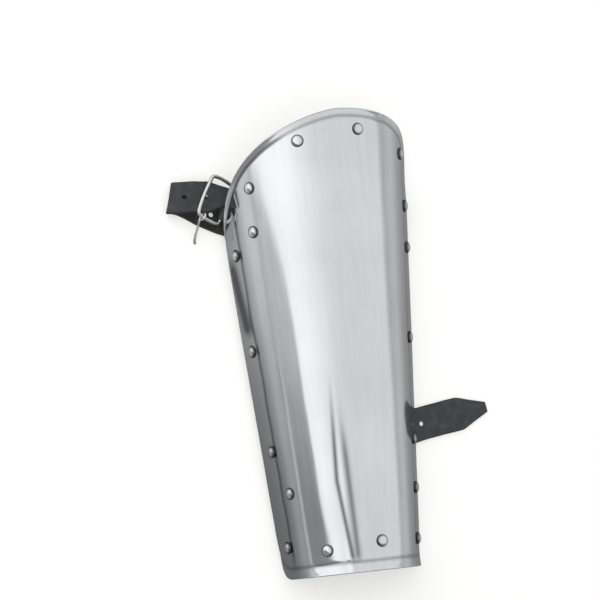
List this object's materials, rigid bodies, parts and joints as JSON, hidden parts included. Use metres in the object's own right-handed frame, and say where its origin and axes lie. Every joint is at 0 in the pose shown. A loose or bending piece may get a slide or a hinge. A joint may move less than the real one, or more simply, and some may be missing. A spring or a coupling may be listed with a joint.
{
  "type": "greave",
  "caption": "Half-tube steel shin guard with a rounded knee end, domed border rivets, and two leather straps that close behind the calf with wire buckles.",
  "frame": {"origin": "on the floor under the middle of the outline", "axes": "+Y along the leg towards the knee, +Z out of the shin line, away from the floor, and the buckles on the -X side"},
  "size_m": [0.247, 0.364, 0.0819],
  "materials": {
    "polished_steel": "bright polished plate outside, matt black paint inside",
    "rivet_steel": "polished domed heads, blackened tails",
    "plated_wire": "bright nickel-plated wire",
    "black_leather": "smooth black finished face, dark cut edges"
  },
  "bodies": {
    "root": {"shell": "polished_steel", "upper_strap": "black_leather", "lower_strap": "black_leather", "upper_chape": "black_leather", "lower_chape": "black_leather", "upper_buckle": "plated_wire", "lower_buckle": "plated_wire", "upper_prong": "plated_wire", "lower_prong": "plated_wire", "rivet_dome_left": "rivet_steel", "rivet_dome_right": "rivet_steel", "rivet_shoulder_left": "rivet_steel", "rivet_shoulder_right": "rivet_steel", "rivet_upper_chape": "rivet_steel", "rivet_upper_strap": "rivet_steel", "rivet_side_left_1": "rivet_steel", "rivet_side_right_1": "rivet_steel", "rivet_side_left_2": "rivet_steel", "rivet_side_right_2": "rivet_steel", "rivet_side_left_3": "rivet_steel", "rivet_side_right_3": "rivet_steel", "rivet_lower_chape": "rivet_steel", "rivet_lower_strap": "rivet_steel", "rivet_corner_left": "rivet_steel", "rivet_corner_right": "rivet_steel", "rivet_foot_left": "rivet_steel", "rivet_foot_right": "rivet_steel"}
  },
  "joints": []
}
